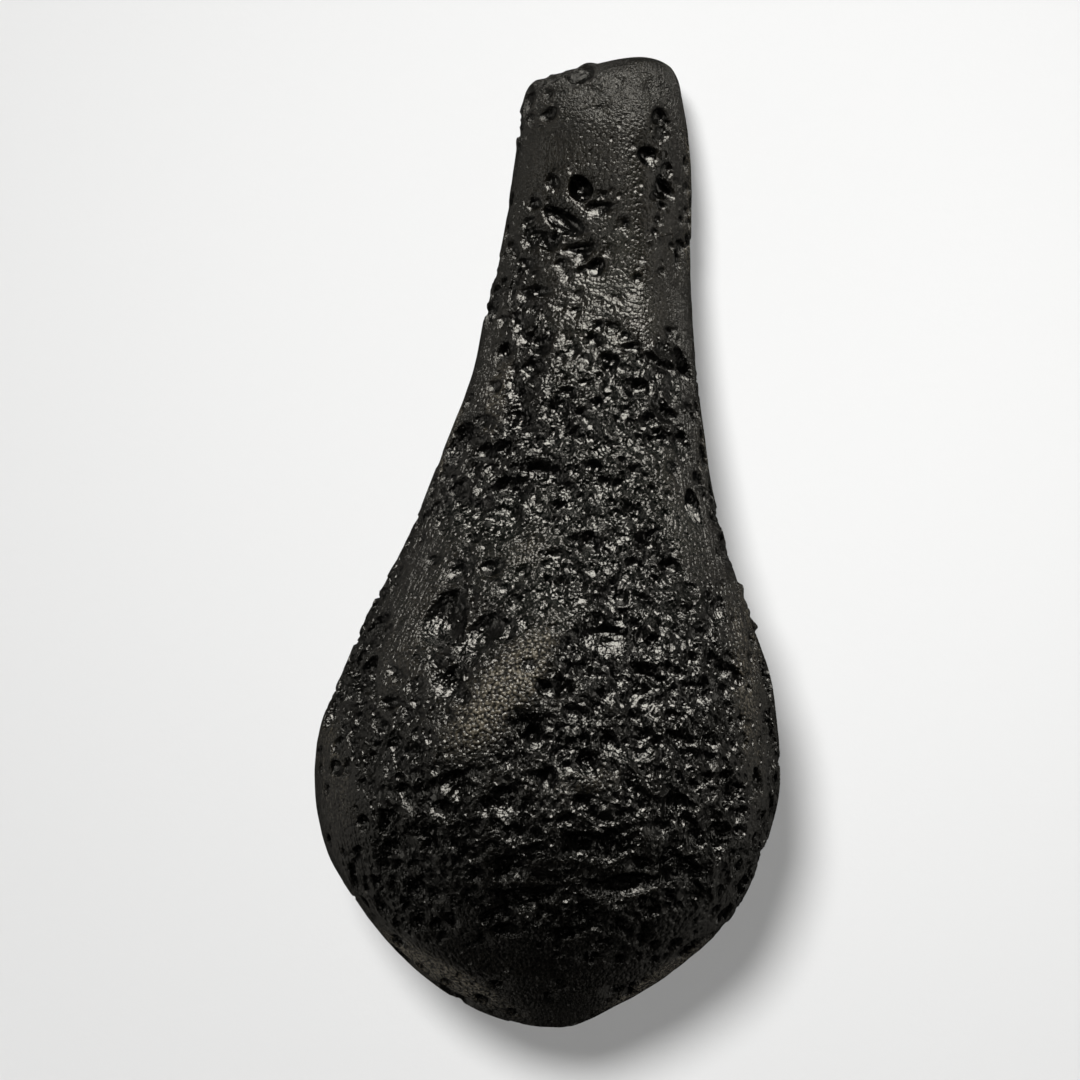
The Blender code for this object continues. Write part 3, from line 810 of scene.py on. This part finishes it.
class Wiring:
    """Adds nodes to a material or a world and joins them."""

    def __init__(self, owner: bpy.types.Material | bpy.types.World) -> None:
        """Starts on its node tree."""
        self.tree = owner.node_tree

    def add(self, kind: str, inputs: dict | None = None, **settings) -> bpy.types.Node:
        """Adds one node.

        Args:
            kind: Blender's name of the node's type, without ShaderNode.
            inputs: Value or output socket for each named input.
            settings: The node's own settings.

        Returns:
            The node.
        """
        node = self.tree.nodes.new("ShaderNode" + kind)
        for name, value in settings.items():
            setattr(node, name, value)
        for name, value in (inputs or {}).items():
            self.put(node, name, value)
        return node

    def put(self, node: bpy.types.Node, name: str | int, value: object) -> None:
        """Sets an input to a value, or joins it to an output socket."""
        if isinstance(value, Socket):
            self.tree.links.new(value, node.inputs[name])
        else:
            node.inputs[name].default_value = value

    def math(self, kind: str, first: object, second: object) -> Socket:
        """One step of arithmetic on two values or sockets, named as Blender names it."""
        return self.add("Math", {0: first, 1: second}, operation=kind).outputs[0]

    def times(self, first: object, second: object) -> Socket:
        """The product of two values or sockets."""
        return self.math("MULTIPLY", first, second)

    def plus(self, first: object, second: object) -> Socket:
        """The sum of two values or sockets."""
        return self.math("ADD", first, second)

    def mix(self, share: object, first: object, second: object) -> Socket:
        """The first value where the share is 0, and the second where it is 1."""
        return self.add("Mix", {0: share, 2: first, 3: second}).outputs[0]

    def blend(self, share: object, first: tuple, second: tuple) -> Socket:
        """The first colour where the share is 0, and the second where it is 1."""
        return self.add("Mix", {0: share, 6: first, 7: second}, data_type="RGBA").outputs[2]

    def mark(self, name: str) -> bpy.types.Node:
        """The values that the mesh keeps under a name."""
        return self.add("Attribute", attribute_name=name)

    def noise(self, place: object, scale: float, **inputs: float) -> Socket:
        """Smooth random values at a place, with the noise node's inputs."""
        return self.add("TexNoise", {"Vector": place, "Scale": scale, **inputs}).outputs["Fac"]

    def cells(self, place: object, size: float) -> bpy.types.Node:
        """Random cells of a size in millimetres, each round its own middle."""
        inputs = {"Vector": place, "Scale": 1 / (size * MM), "Randomness": 1.0}
        return self.add("TexVoronoi", inputs, feature="F1")

    def between(self, share: object, first: float, second: float) -> Socket:
        """A value that goes smoothly from the first to the second as the share goes from 0 to 1."""
        return self.ramp(share, 0.0, 1.0, first, second)

    def ramp(
        self, value: object, low: float, high: float, out_low: float = 0.0, out_high: float = 1.0
    ) -> Socket:
        """A value mapped smoothly from one range to another."""
        inputs = {"Value": value, "From Min": low, "From Max": high}
        inputs |= {"To Min": out_low, "To Max": out_high}
        return self.add("MapRange", inputs, interpolation_type="SMOOTHSTEP").outputs["Result"]


@dataclass(frozen=True)
class BlackGlass:
    """Natural black glass with a satin, etched skin.

    Attributes:
        slot: Name of its material slot.
        colour: Colour of the glass.
        etched: Colour of its etched skin, also used on the paler lanes, where it is partly painted sheen.
        bare_roughness: Roughness of the open skin.
        neck_roughness: Roughness of it on the neck.
        tip_roughness: Roughness of it at the very end of the neck.
        pit_roughness: Roughness inside the pits, which are glossier.
        index: Index of refraction.
        large_bubble: Size of the largest burst bubbles that are too fine to model, in millimetres.
        small_bubble: Size of the next.
        bead: Size of the tiny beads that cover the skin.
        bead_height: How far they stand out, as a share of their size.
        grain: Size of the grain between them.
        broad: Size of the broad patches of paler skin.
        streak: Width of the flow streaks.
        bubble_slope: How steep the wall of a burst bubble is at its rim.
        neck_brown: Least and most share of etched colour on the neck.
        neck_start: Y from which the skin turns into the neck's, and where it has, in metres.
        tip_start: The same for the very end of the neck.
    """

    slot: str = "black_glass"
    colour: tuple[float, float, float, float] = (0.0007, 0.0007, 0.0006, 1.0)
    etched: tuple[float, float, float, float] = (0.150, 0.132, 0.102, 1.0)
    bare_roughness: float = 0.22
    neck_roughness: float = 0.22
    tip_roughness: float = 0.35
    pit_roughness: float = 0.14
    index: float = 1.5
    large_bubble: float = 1.00
    small_bubble: float = 0.56
    bead: float = 0.32
    bead_height: float = 0.24
    grain: float = 0.20
    broad: float = 2.6
    streak: float = 0.30
    bubble_slope: float = 1.15
    neck_brown: tuple[float, float] = (0.01, 0.08)
    neck_start: tuple[float, float] = (0.004, 0.020)
    tip_start: tuple[float, float] = (0.0300, 0.0355)

    def bubbles(self, net: Wiring, place: object, size: float, share: object) -> Socket:
        """Height of burst bubbles: a round pit in some of the cells of a Voronoi pattern.

        The height is -slope times size times R^2 - d^2, where d is the distance from the cell's middle
        and R the bubble's own radius, both in cells.

        Args:
            net: The material's nodes.
            place: Coordinates in metres.
            size: Size of a cell, in millimetres.
            share: The share of the cells that have a bubble.

        Returns:
            Height in millimetres, 0 on open skin.
        """
        cells = net.cells(place, size)
        chances = net.add("SeparateColor", {0: cells.outputs["Color"]})
        chosen = net.math("LESS_THAN", chances.outputs[0], share)
        radius = net.between(chances.outputs[1], 0.38, 0.62)
        distance = cells.outputs["Distance"]
        inside = net.math("SUBTRACT", net.times(radius, radius), net.times(distance, distance))
        bowl = net.math("MAXIMUM", inside, 0.0)
        return net.times(net.times(bowl, chosen), -self.bubble_slope * size)

    def material(self) -> bpy.types.Material:
        """Makes the material.

        Two sizes of burst bubble, a skin of tiny beads, a fine grain, and flow streaks on the flanks
        are heights in millimetres for one bump. A bead is -bead_height times its size times d^2, where d is
        the distance from its middle. Etching has left the tops of the beads pale and matt, but the
        pits and the crowded parts are glossy and black. The smooth lanes are painted paler still, partly
        as painted sheen: a highlight down the bulb and reflections of the floor along the edges and the
        foot.

        Returns:
            The material.
        """
        material = bpy.data.materials.new(self.slot)
        material.use_nodes = True
        net = Wiring(material)
        shader = material.node_tree.nodes["Principled BSDF"]
        place = net.add("TexCoord").outputs["Object"]
        pit = net.mark("pit").outputs["Fac"]
        crowd = net.mark("crowding").outputs["Fac"]
        flank = net.mark("flank").outputs["Fac"]
        pale = net.mark("pale").outputs["Fac"]
        along = net.add("SeparateXYZ", {0: place}).outputs["Y"]
        calm = net.ramp(along, *self.neck_start)
        flow = net.mark("flow").outputs["Vector"]

        fine = net.noise(place, 1 / (self.grain * MM), Detail=2.0, Roughness=0.6)
        broad = net.noise(place, 1 / (self.broad * MM), Detail=3.0)
        streak = net.noise(flow, 1 / self.streak, Detail=2.0, Roughness=0.55)
        beads = net.cells(place, self.bead).outputs["Distance"]

        crowded = net.ramp(crowd, 0.25, 1.2, 0.0, 0.90)
        sprinkled = net.ramp(crowd, 0.0, 0.9, 0.18, 0.80)
        height = self.bubbles(net, place, self.large_bubble, crowded)
        height = net.plus(height, self.bubbles(net, place, self.small_bubble, sprinkled))
        height = net.times(height, net.between(calm, 1.0, 0.5))
        domes = net.times(beads, beads)
        domes = net.times(domes, -self.bead_height * self.bead)
        domes = net.times(domes, net.ramp(pale, 0.0, 0.8, 1.3, 2.3))
        domes = net.times(domes, net.between(calm, 1.0, 0.55))
        height = net.plus(height, domes)
        tip = net.ramp(along, *self.tip_start)
        grainy = net.between(calm, 0.09, 0.05)
        grainy = net.plus(grainy, net.between(tip, 0.0, 0.12))
        height = net.plus(height, net.times(fine, grainy))
        rows = net.times(streak, net.between(flank, 0.03, 0.36))
        height = net.plus(height, rows)
        height = net.times(height, net.ramp(pit, 0.05, 0.35, 1.0, 0.42))
        bump = net.add("Bump", {"Height": height, "Distance": MM, "Strength": 1.0})

        open_skin = net.times(
            net.ramp(pit, 0.05, 0.30, 1.0, 0.0), net.ramp(crowd, 0.15, 1.0, 1.0, 0.25)
        )
        roughness = net.between(calm, self.bare_roughness, self.neck_roughness)
        roughness = net.mix(tip, roughness, self.tip_roughness)
        roughness = net.mix(open_skin, self.pit_roughness, roughness)
        tops = net.math("SUBTRACT", fine, net.times(beads, 0.35))
        tops = net.ramp(tops, 0.22, 0.50, 0.04, 1.0)
        # Paler on the lanes: paler etched skin that is partly painted sheen, a highlight down the bulb and
        # reflections of the floor at the edges and the foot.
        tops = net.times(tops, net.ramp(pale, 0.0, 2.0, 0.08, 1.45))
        brown = net.times(net.ramp(fine, 0.30, 0.70, *self.neck_brown), calm)
        brown = net.times(brown, net.between(tip, 1.0, 0.3))
        tops = net.math("MAXIMUM", tops, brown)
        tops = net.times(tops, net.ramp(broad, 0.30, 0.62, 0.6, 1.0))
        lines = net.ramp(streak, 0.40, 0.60, 1.0, 0.25)
        tops = net.times(tops, net.mix(flank, 1.0, lines))
        # Share of etched colour, which is dust and painted sheen, kept off the pits and the crowded parts.
        dust_and_sheen = net.times(tops, open_skin)

        net.put(shader, "Base Color", net.blend(dust_and_sheen, self.colour, self.etched))
        net.put(shader, "Roughness", roughness)
        net.put(shader, "IOR", self.index)
        net.put(shader, "Normal", bump.outputs[0])
        material.diffuse_color = self.colour
        return material


# The tektite

@dataclass
class Tektite:
    """The whole object: one drop of black glass, grown as one piece.

    Attributes:
        form: The smooth drop.
        swells: Its ridges and hollows.
        pits: Its pits.
        glass: Its finish.
        seed: Seed of the ridges and pits that are spread at random.
        triangles: How many triangles the finished mesh keeps.
        ripple: The most that a last, gentle unevenness moves the skin, in millimetres.
        ripple_mottle: That unevenness.
        flow_radius: Radius of the cylinder that the flow streaks are drawn on.
        flow_stretch: How much shorter than the drop it is, which draws the streaks out.
    """

    form: DropForm = field(default_factory=DropForm)
    swells: Swells = field(default_factory=Swells)
    pits: PitPlan = field(default_factory=PitPlan)
    glass: BlackGlass = field(default_factory=BlackGlass)
    seed: int = 4107
    triangles: int = 195_000
    ripple: float = 0.03
    ripple_mottle: Mottle = Mottle(5, 1.3)
    flow_radius: float = 15.0
    flow_stretch: float = 0.08

    def grid_mesh(self, skin: Skin, marks: dict[str, Array]) -> bpy.types.Mesh:
        """The skin as a closed mesh in millimetres: four-sided faces, with a fan at either end.

        Args:
            skin: The drop's skin.
            marks: Values for each point of the grid, kept in the mesh under their names.

        Returns:
            The mesh.
        """
        rows, columns = skin.rows, skin.columns
        grid = np.arange(rows * columns).reshape(rows, columns)
        quads = ring_faces(grid)
        foot = fan_faces(grid.size, grid[0])
        tip = fan_faces(grid.size + 1, grid[-1])[:, [0, 2, 1]]
        corners = np.concatenate([quads.ravel(), foot.ravel(), tip.ravel()])
        sizes = np.repeat([4, 3, 3], [len(quads), columns, columns])

        points = skin.points.reshape(-1, 3)
        poles = [skin.points[0].mean(axis=0), skin.points[-1].mean(axis=0)]
        points = np.concatenate([points, poles])
        mesh = bpy.data.meshes.new("fine_drop")
        mesh.vertices.add(len(points))
        mesh.vertices.foreach_set("co", points.astype(np.float32).ravel())
        mesh.loops.add(len(corners))
        mesh.loops.foreach_set("vertex_index", corners.astype(np.int32))
        mesh.polygons.add(len(sizes))
        mesh.polygons.foreach_set("loop_start", (np.cumsum(sizes) - sizes).astype(np.int32))
        mesh.update(calc_edges=True)
        for name, values in marks.items():
            values = np.concatenate([values.ravel(), [values[0].mean(), values[-1].mean()]])
            mark = mesh.attributes.new(name, "FLOAT", "POINT")
            mark.data.foreach_set("value", values.astype(np.float32))
        return mesh

    def mark_flow(self, mesh: bpy.types.Mesh, skin: Skin) -> None:
        """Keeps a place on a cylinder for each point, so that a pattern can run down the drop.

        The place is the flow radius times cos(around) and sin(around), and y times the flow stretch.

        Args:
            mesh: The skin as a mesh.
            skin: The grid that it was made from.
        """
        around = 2 * np.pi * np.arange(skin.columns) / skin.columns
        height = self.flow_stretch * skin.points[..., 1]
        cylinder = [self.flow_radius * np.cos(around), self.flow_radius * np.sin(around), height]
        flow = np.stack(np.broadcast_arrays(*cylinder), axis=-1).reshape(-1, 3)
        flow = np.concatenate([flow, flow[:1] * 0, flow[-1:] * 0])
        mark = mesh.attributes.new("flow", "FLOAT_VECTOR", "POINT")
        mark.data.foreach_set("vector", flow.astype(np.float32).ravel())

    def thinned(self, fine: bpy.types.Mesh) -> bpy.types.Mesh:
        """The mesh with fewer triangles, most of them where the skin bends, in metres.

        It is thinned in millimetres, because Decimate can't tell apart errors this small in metres.
        """
        drop = bpy.data.objects.new("fine_drop", fine)
        bpy.context.scene.collection.objects.link(drop)
        thin = drop.modifiers.new("thin", "DECIMATE")
        thin.ratio = self.triangles / (2 * len(fine.vertices) - 4)
        depsgraph = bpy.context.evaluated_depsgraph_get()
        mesh = bpy.data.meshes.new_from_object(drop.evaluated_get(depsgraph))
        mesh.name = "tektite_skin"
        mesh.transform(Matrix.Scale(MM, 4))
        bpy.data.objects.remove(drop, do_unlink=True)
        bpy.data.meshes.remove(fine)
        return mesh

    def build(self) -> bpy.types.Object:
        """Builds the drop and puts it on its body, in place of the plain CAD drop.

        Returns:
            The finished object.
        """
        skin = Skin(self.form)
        self.swells.raise_skin(skin, np.random.default_rng(self.seed))
        press = PitPress(skin, self.pits, np.random.default_rng(self.seed + 1))
        crowding, pale = self.pits.crowding(skin)
        flank = 1 - ease(0.40, 0.85, np.abs(skin.normals[..., 2]))
        flank *= ease(-33.0, -24.0, skin.points[..., 1])
        press.large()
        tilt = skin.normals[..., 2]
        seen = 0.30 + 0.70 * ease(0.05, 0.50, tilt)
        waist_down = 1 - 0.8 * ease(8.0, 18.0, skin.points[..., 1])
        press.small(crowding**2.0 * seen * waist_down, self.pits.medium)
        seen = 0.45 + 0.55 * ease(-0.6, 0.4, tilt)
        press.small((crowding + 0.08) ** 1.3 * seen, self.pits.fine)
        press.sink()
        skin.raise_by(self.ripple * self.ripple_mottle.at(skin.points))
        skin.points[..., 2] = np.maximum(skin.points[..., 2], 0.0)
        log.info("skin: %d points, deepest pit %.2f mm", skin.points.size // 3, press.depth.max())

        depth = press.depth.reshape(skin.rows, skin.columns)
        # The pale mark is random paler skin, and on the lanes partly painted sheen.
        marks = {"pit": depth, "crowding": crowding, "flank": flank, "pale": pale}
        fine = self.grid_mesh(skin, marks)
        self.mark_flow(fine, skin)
        mesh = self.thinned(fine)
        mesh.shade_smooth()
        tektite = bpy.data.objects.new("tektite_skin", mesh)
        bpy.context.scene.collection.objects.link(tektite)
        mesh.materials.append(self.glass.material())
        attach(tektite, "root")
        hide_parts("tektite")
        log.info("tektite: %d triangles", len(mesh.polygons))
        return tektite


# The studio

@dataclass(frozen=True)
class PaleFloor:
    """A white floor that curves up far away, with a painted pool of light near the drop.

    Attributes:
        flat_radius: Radius of its flat part, in metres.
        cove_radius: Radius of the curve at its edge.
        wall: Height of the wall above the curve.
        white: Its colour in the middle of the painted pool of light, under the drop.
        grey: Its colour farther off, outside the painted pool of light.
        bright_spot: Middle of the painted pool of light, in metres.
        fade: Distances from that middle between which the painted light dies away to grey.
        spokes: Number of points round it.
        rings: Number of rings on the flat part.
        bend_steps: Number of points across the curve.
    """

    flat_radius: float = 2.2
    cove_radius: float = 0.6
    wall: float = 0.5
    white: tuple[float, float, float, float] = (0.80, 0.80, 0.795, 1.0)
    grey: tuple[float, float, float, float] = (0.64, 0.64, 0.637, 1.0)
    bright_spot: tuple[float, float] = (0.018, 0.026)
    fade: tuple[float, float] = (0.012, 0.100)
    spokes: int = 96
    rings: int = 48
    bend_steps: int = 16

    def material(self) -> bpy.types.Material:
        """Matt white with a painted pool of light, a little greyer away from the bright spot, with a faint
        paper grain.
        """
        material = bpy.data.materials.new("pale_floor")
        material.use_nodes = True
        net = Wiring(material)
        shader = material.node_tree.nodes["Principled BSDF"]
        place = net.add("TexCoord").outputs["Object"]
        shift = (-self.bright_spot[0], -self.bright_spot[1], 0)
        centred = net.add("Mapping", {"Vector": place, "Location": shift}).outputs[0]
        away = net.add("VectorMath", {0: centred}, operation="LENGTH").outputs["Value"]
        # Painted pool of light: whiter round the bright spot, greyer farther off.
        colour = net.blend(net.ramp(away, *self.fade), self.white, self.grey)
        grain = net.noise(place, 900.0, Detail=3.0)
        bump = net.add("Bump", {"Height": grain, "Distance": 0.00008, "Strength": 0.3})
        net.put(shader, "Base Color", colour)
        net.put(shader, "Roughness", 0.9)
        net.put(shader, "Specular IOR Level", 0.0)
        net.put(shader, "Normal", bump.outputs[0])
        return material

    def build(self) -> bpy.types.Object:
        """The floor as one sheet: a disc, a quarter circle up at its edge, and a wall.

        Its profile is a radius and a height, and each ring is the circle of that radius.

        Returns:
            The floor.
        """
        disc = self.flat_radius * np.linspace(0, 1, self.rings) ** 2
        bend = np.linspace(0, math.pi / 2, self.bend_steps)[1:]
        cove, edge = self.cove_radius, disc[-1] + self.cove_radius
        radius = np.concatenate([disc, disc[-1] + cove * np.sin(bend), [edge]])[1:, None]
        rise = np.concatenate([0 * disc, cove * (1 - np.cos(bend)), [cove + self.wall]])[1:, None]
        spokes = 2 * np.pi * np.arange(self.spokes) / self.spokes
        rings = np.broadcast_arrays(radius * np.cos(spokes), radius * np.sin(spokes), rise)
        points = np.concatenate([np.stack(rings, axis=-1).reshape(-1, 3), [[0.0, 0.0, 0.0]]])
        grid = np.arange(len(points) - 1).reshape(-1, self.spokes)
        middle = fan_faces(grid.size, grid[0])
        mesh = bpy.data.meshes.new("floor")
        mesh.from_pydata(points.tolist(), [], ring_faces(grid).tolist() + middle.tolist())
        mesh.shade_smooth()
        mesh.materials.append(self.material())
        floor = bpy.data.objects.new("floor", mesh)
        bpy.context.scene.collection.objects.link(floor)
        floor.visible_glossy = False
        return floor


@dataclass(frozen=True)
class Lamp:
    """What the two kinds of lamp share.

    Attributes:
        name: Its name.
        lean: Angle of its direction from straight up, in degrees.
        bearing: Compass angle of its direction, 0 at +X and 90 at +Y.
    """

    name: str
    lean: float
    bearing: float

    def towards(self) -> Vector:
        """The direction from the drop to the lamp."""
        lean, bearing = math.radians(self.lean), math.radians(self.bearing)
        level = math.sin(lean)
        return Vector((level * math.cos(bearing), level * math.sin(bearing), math.cos(lean)))

    def hang(self, lamp: bpy.types.Light, receivers: bpy.types.Collection) -> bpy.types.Object:
        """Puts the lamp up, turned to the drop, so that it lights only the given objects.

        Args:
            lamp: Its light.
            receivers: The objects that it lights.

        Returns:
            The lamp, at the middle of the scene.
        """
        held = bpy.data.objects.new(self.name, lamp)
        held.rotation_euler = self.towards().to_track_quat("Z", "Y").to_euler()
        held.light_linking.receiver_collection = receivers
        bpy.context.scene.collection.objects.link(held)
        return held


@dataclass(frozen=True)
class Softbox(Lamp):
    """A flat lamp that faces the drop.

    Attributes:
        distance: How far off it is, in metres.
        size: Its width and height.
        radiance: How bright its face looks, where 1 is white.
        tint: Its colour.
    """

    distance: float
    size: tuple[float, float]
    radiance: float
    tint: tuple[float, float, float] = (1.0, 0.96, 0.865)

    def build(self, receivers: bpy.types.Collection) -> None:
        """Puts the lamp up so that it lights only the given objects."""
        lamp = bpy.data.lights.new(self.name, "AREA")
        lamp.shape = "RECTANGLE"
        lamp.size, lamp.size_y = self.size
        lamp.energy = self.radiance * math.pi * self.size[0] * self.size[1]
        lamp.color = self.tint
        held = self.hang(lamp, receivers)
        held.location = self.towards() * self.distance + DROP_MIDDLE
        held.visible_camera = False


@dataclass(frozen=True)
class FloorSun(Lamp):
    """A far lamp that lights only the floor.

    Attributes:
        spread: Its angular size in degrees, which softens the shadow.
        strength: Its light on a surface that faces it.
        shadow: Whether the drop casts a shadow in it.
    """

    spread: float
    strength: float
    shadow: bool

    def build(self, receivers: bpy.types.Collection) -> None:
        """Puts the lamp up so that it lights only the given objects."""
        lamp = bpy.data.lights.new(self.name, "SUN")
        lamp.energy = self.strength
        lamp.angle = math.radians(self.spread)
        lamp.use_shadow = self.shadow
        self.hang(lamp, receivers)


@dataclass(frozen=True)
class Studio:
    """The floor, the lamps and the camera.

    Attributes:
        eye: Place of the camera, straight over the drop, in metres.
        lens: Its focal length in millimetres, on a 36 mm sensor.
        dimness: Brightness of the room beyond the lamps.
        side_glow: Brightness of it to the left and the right.
        floor_glow: Brightness of the lit floor beyond the left and the right of the bulb's foot.
        glowing: Directions of those two parts of the floor, and the share of the glow that each has.
        room_tint: Colour of the room.
        floor: The floor.
        softboxes: The lamps on the drop.
        suns: The lamps on the floor.
    """

    eye: tuple[float, float, float] = (-0.00059, -0.00018, 0.464)
    lens: float = 191.7
    dimness: float = 0.002
    side_glow: float = 0.22
    floor_glow: float = 0.14
    glowing: tuple[tuple[tuple[float, float, float], float], ...] = (
        ((-0.54, -0.54, -0.64), 1.0),
        ((0.59, -0.49, -0.64), 0.6),
    )
    room_tint: tuple[float, float, float, float] = (1.0, 0.95, 0.85, 1.0)
    floor: PaleFloor = field(default_factory=PaleFloor)
    softboxes: tuple[Softbox, ...] = (
        Softbox("window", lean=34, bearing=95, distance=0.9, size=(1.10, 0.80), radiance=0.10),
        Softbox("lamp", lean=64, bearing=84, distance=1.0, size=(0.62, 0.62), radiance=14.2),
        Softbox("high_lamp", lean=24, bearing=150, distance=1.0, size=(0.42, 0.30), radiance=2.2),
        Softbox("front_lamp", lean=58, bearing=262, distance=1.0, size=(0.22, 0.16), radiance=0.7),
        Softbox("left_strip", lean=78, bearing=172, distance=1.0, size=(0.90, 0.26), radiance=1.7),
        Softbox("right_strip", lean=78, bearing=12, distance=1.0, size=(0.90, 0.26), radiance=2.0),
    )
    suns: tuple[FloorSun, ...] = (
        FloorSun("floor_key", lean=22, bearing=119, spread=14, strength=2.76, shadow=True),
        FloorSun("floor_fill", lean=0, bearing=0, spread=10, strength=1.00, shadow=False),
    )

    def room(self) -> bpy.types.World:
        """The dim, warm room beyond the lamps, a little lighter to the left and the right."""
        room = bpy.data.worlds.new("room")
        room.use_nodes = True
        net = Wiring(room)
        direction_in = net.add("TexCoord").outputs["Generated"]
        direction = net.add("SeparateXYZ", {0: direction_in})
        sideways = net.ramp(net.math("ABSOLUTE", direction.outputs["X"], 0.0), 0.15, 0.80)
        onwards = net.ramp(direction.outputs["Y"], -1.15, -0.50)
        low = net.ramp(direction.outputs["Z"], -0.35, 0.35, 1.0, 0.30)
        glow = net.times(net.times(sideways, onwards), low)
        glow = net.between(glow, self.dimness, self.side_glow)
        for towards, share in self.glowing:
            near = net.add("VectorMath", {0: direction_in, 1: towards}, operation="DOT_PRODUCT")
            lit = net.ramp(near.outputs["Value"], 0.85, 0.95, 0.0, share * self.floor_glow)
            glow = net.math("MAXIMUM", glow, lit)
        background = room.node_tree.nodes["Background"]
        net.put(background, "Color", self.room_tint)
        net.put(background, "Strength", glow)
        return room

    def set_up(self, drop: bpy.types.Object) -> None:
        """Builds the studio round the drop."""
        floor = self.floor.build()
        on_drop = bpy.data.collections.new("lit_drop")
        on_drop.objects.link(drop)
        on_floor = bpy.data.collections.new("lit_floor")
        on_floor.objects.link(floor)
        for softbox in self.softboxes:
            softbox.build(on_drop)
        for sun in self.suns:
            sun.build(on_floor)
        log.info("studio: floor, %d softboxes, %d suns", len(self.softboxes), len(self.suns))

        scene = bpy.context.scene
        scene.world = self.room()
        scene.view_settings.view_transform = "Standard"

        eye = bpy.data.cameras.new("camera")
        eye.sensor_width = 36.0
        eye.lens = self.lens
        eye.clip_start = 0.01
        held = bpy.data.objects.new("camera", eye)
        held.location = self.eye
        scene.collection.objects.link(held)
        scene.camera = held


def main() -> None:
    """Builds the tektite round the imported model, and the studio round the tektite."""
    logging.basicConfig(level=logging.INFO, format="%(name)s: %(message)s")
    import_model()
    drop = Tektite().build()
    Studio().set_up(drop)


if __name__ == "__main__":
    main()
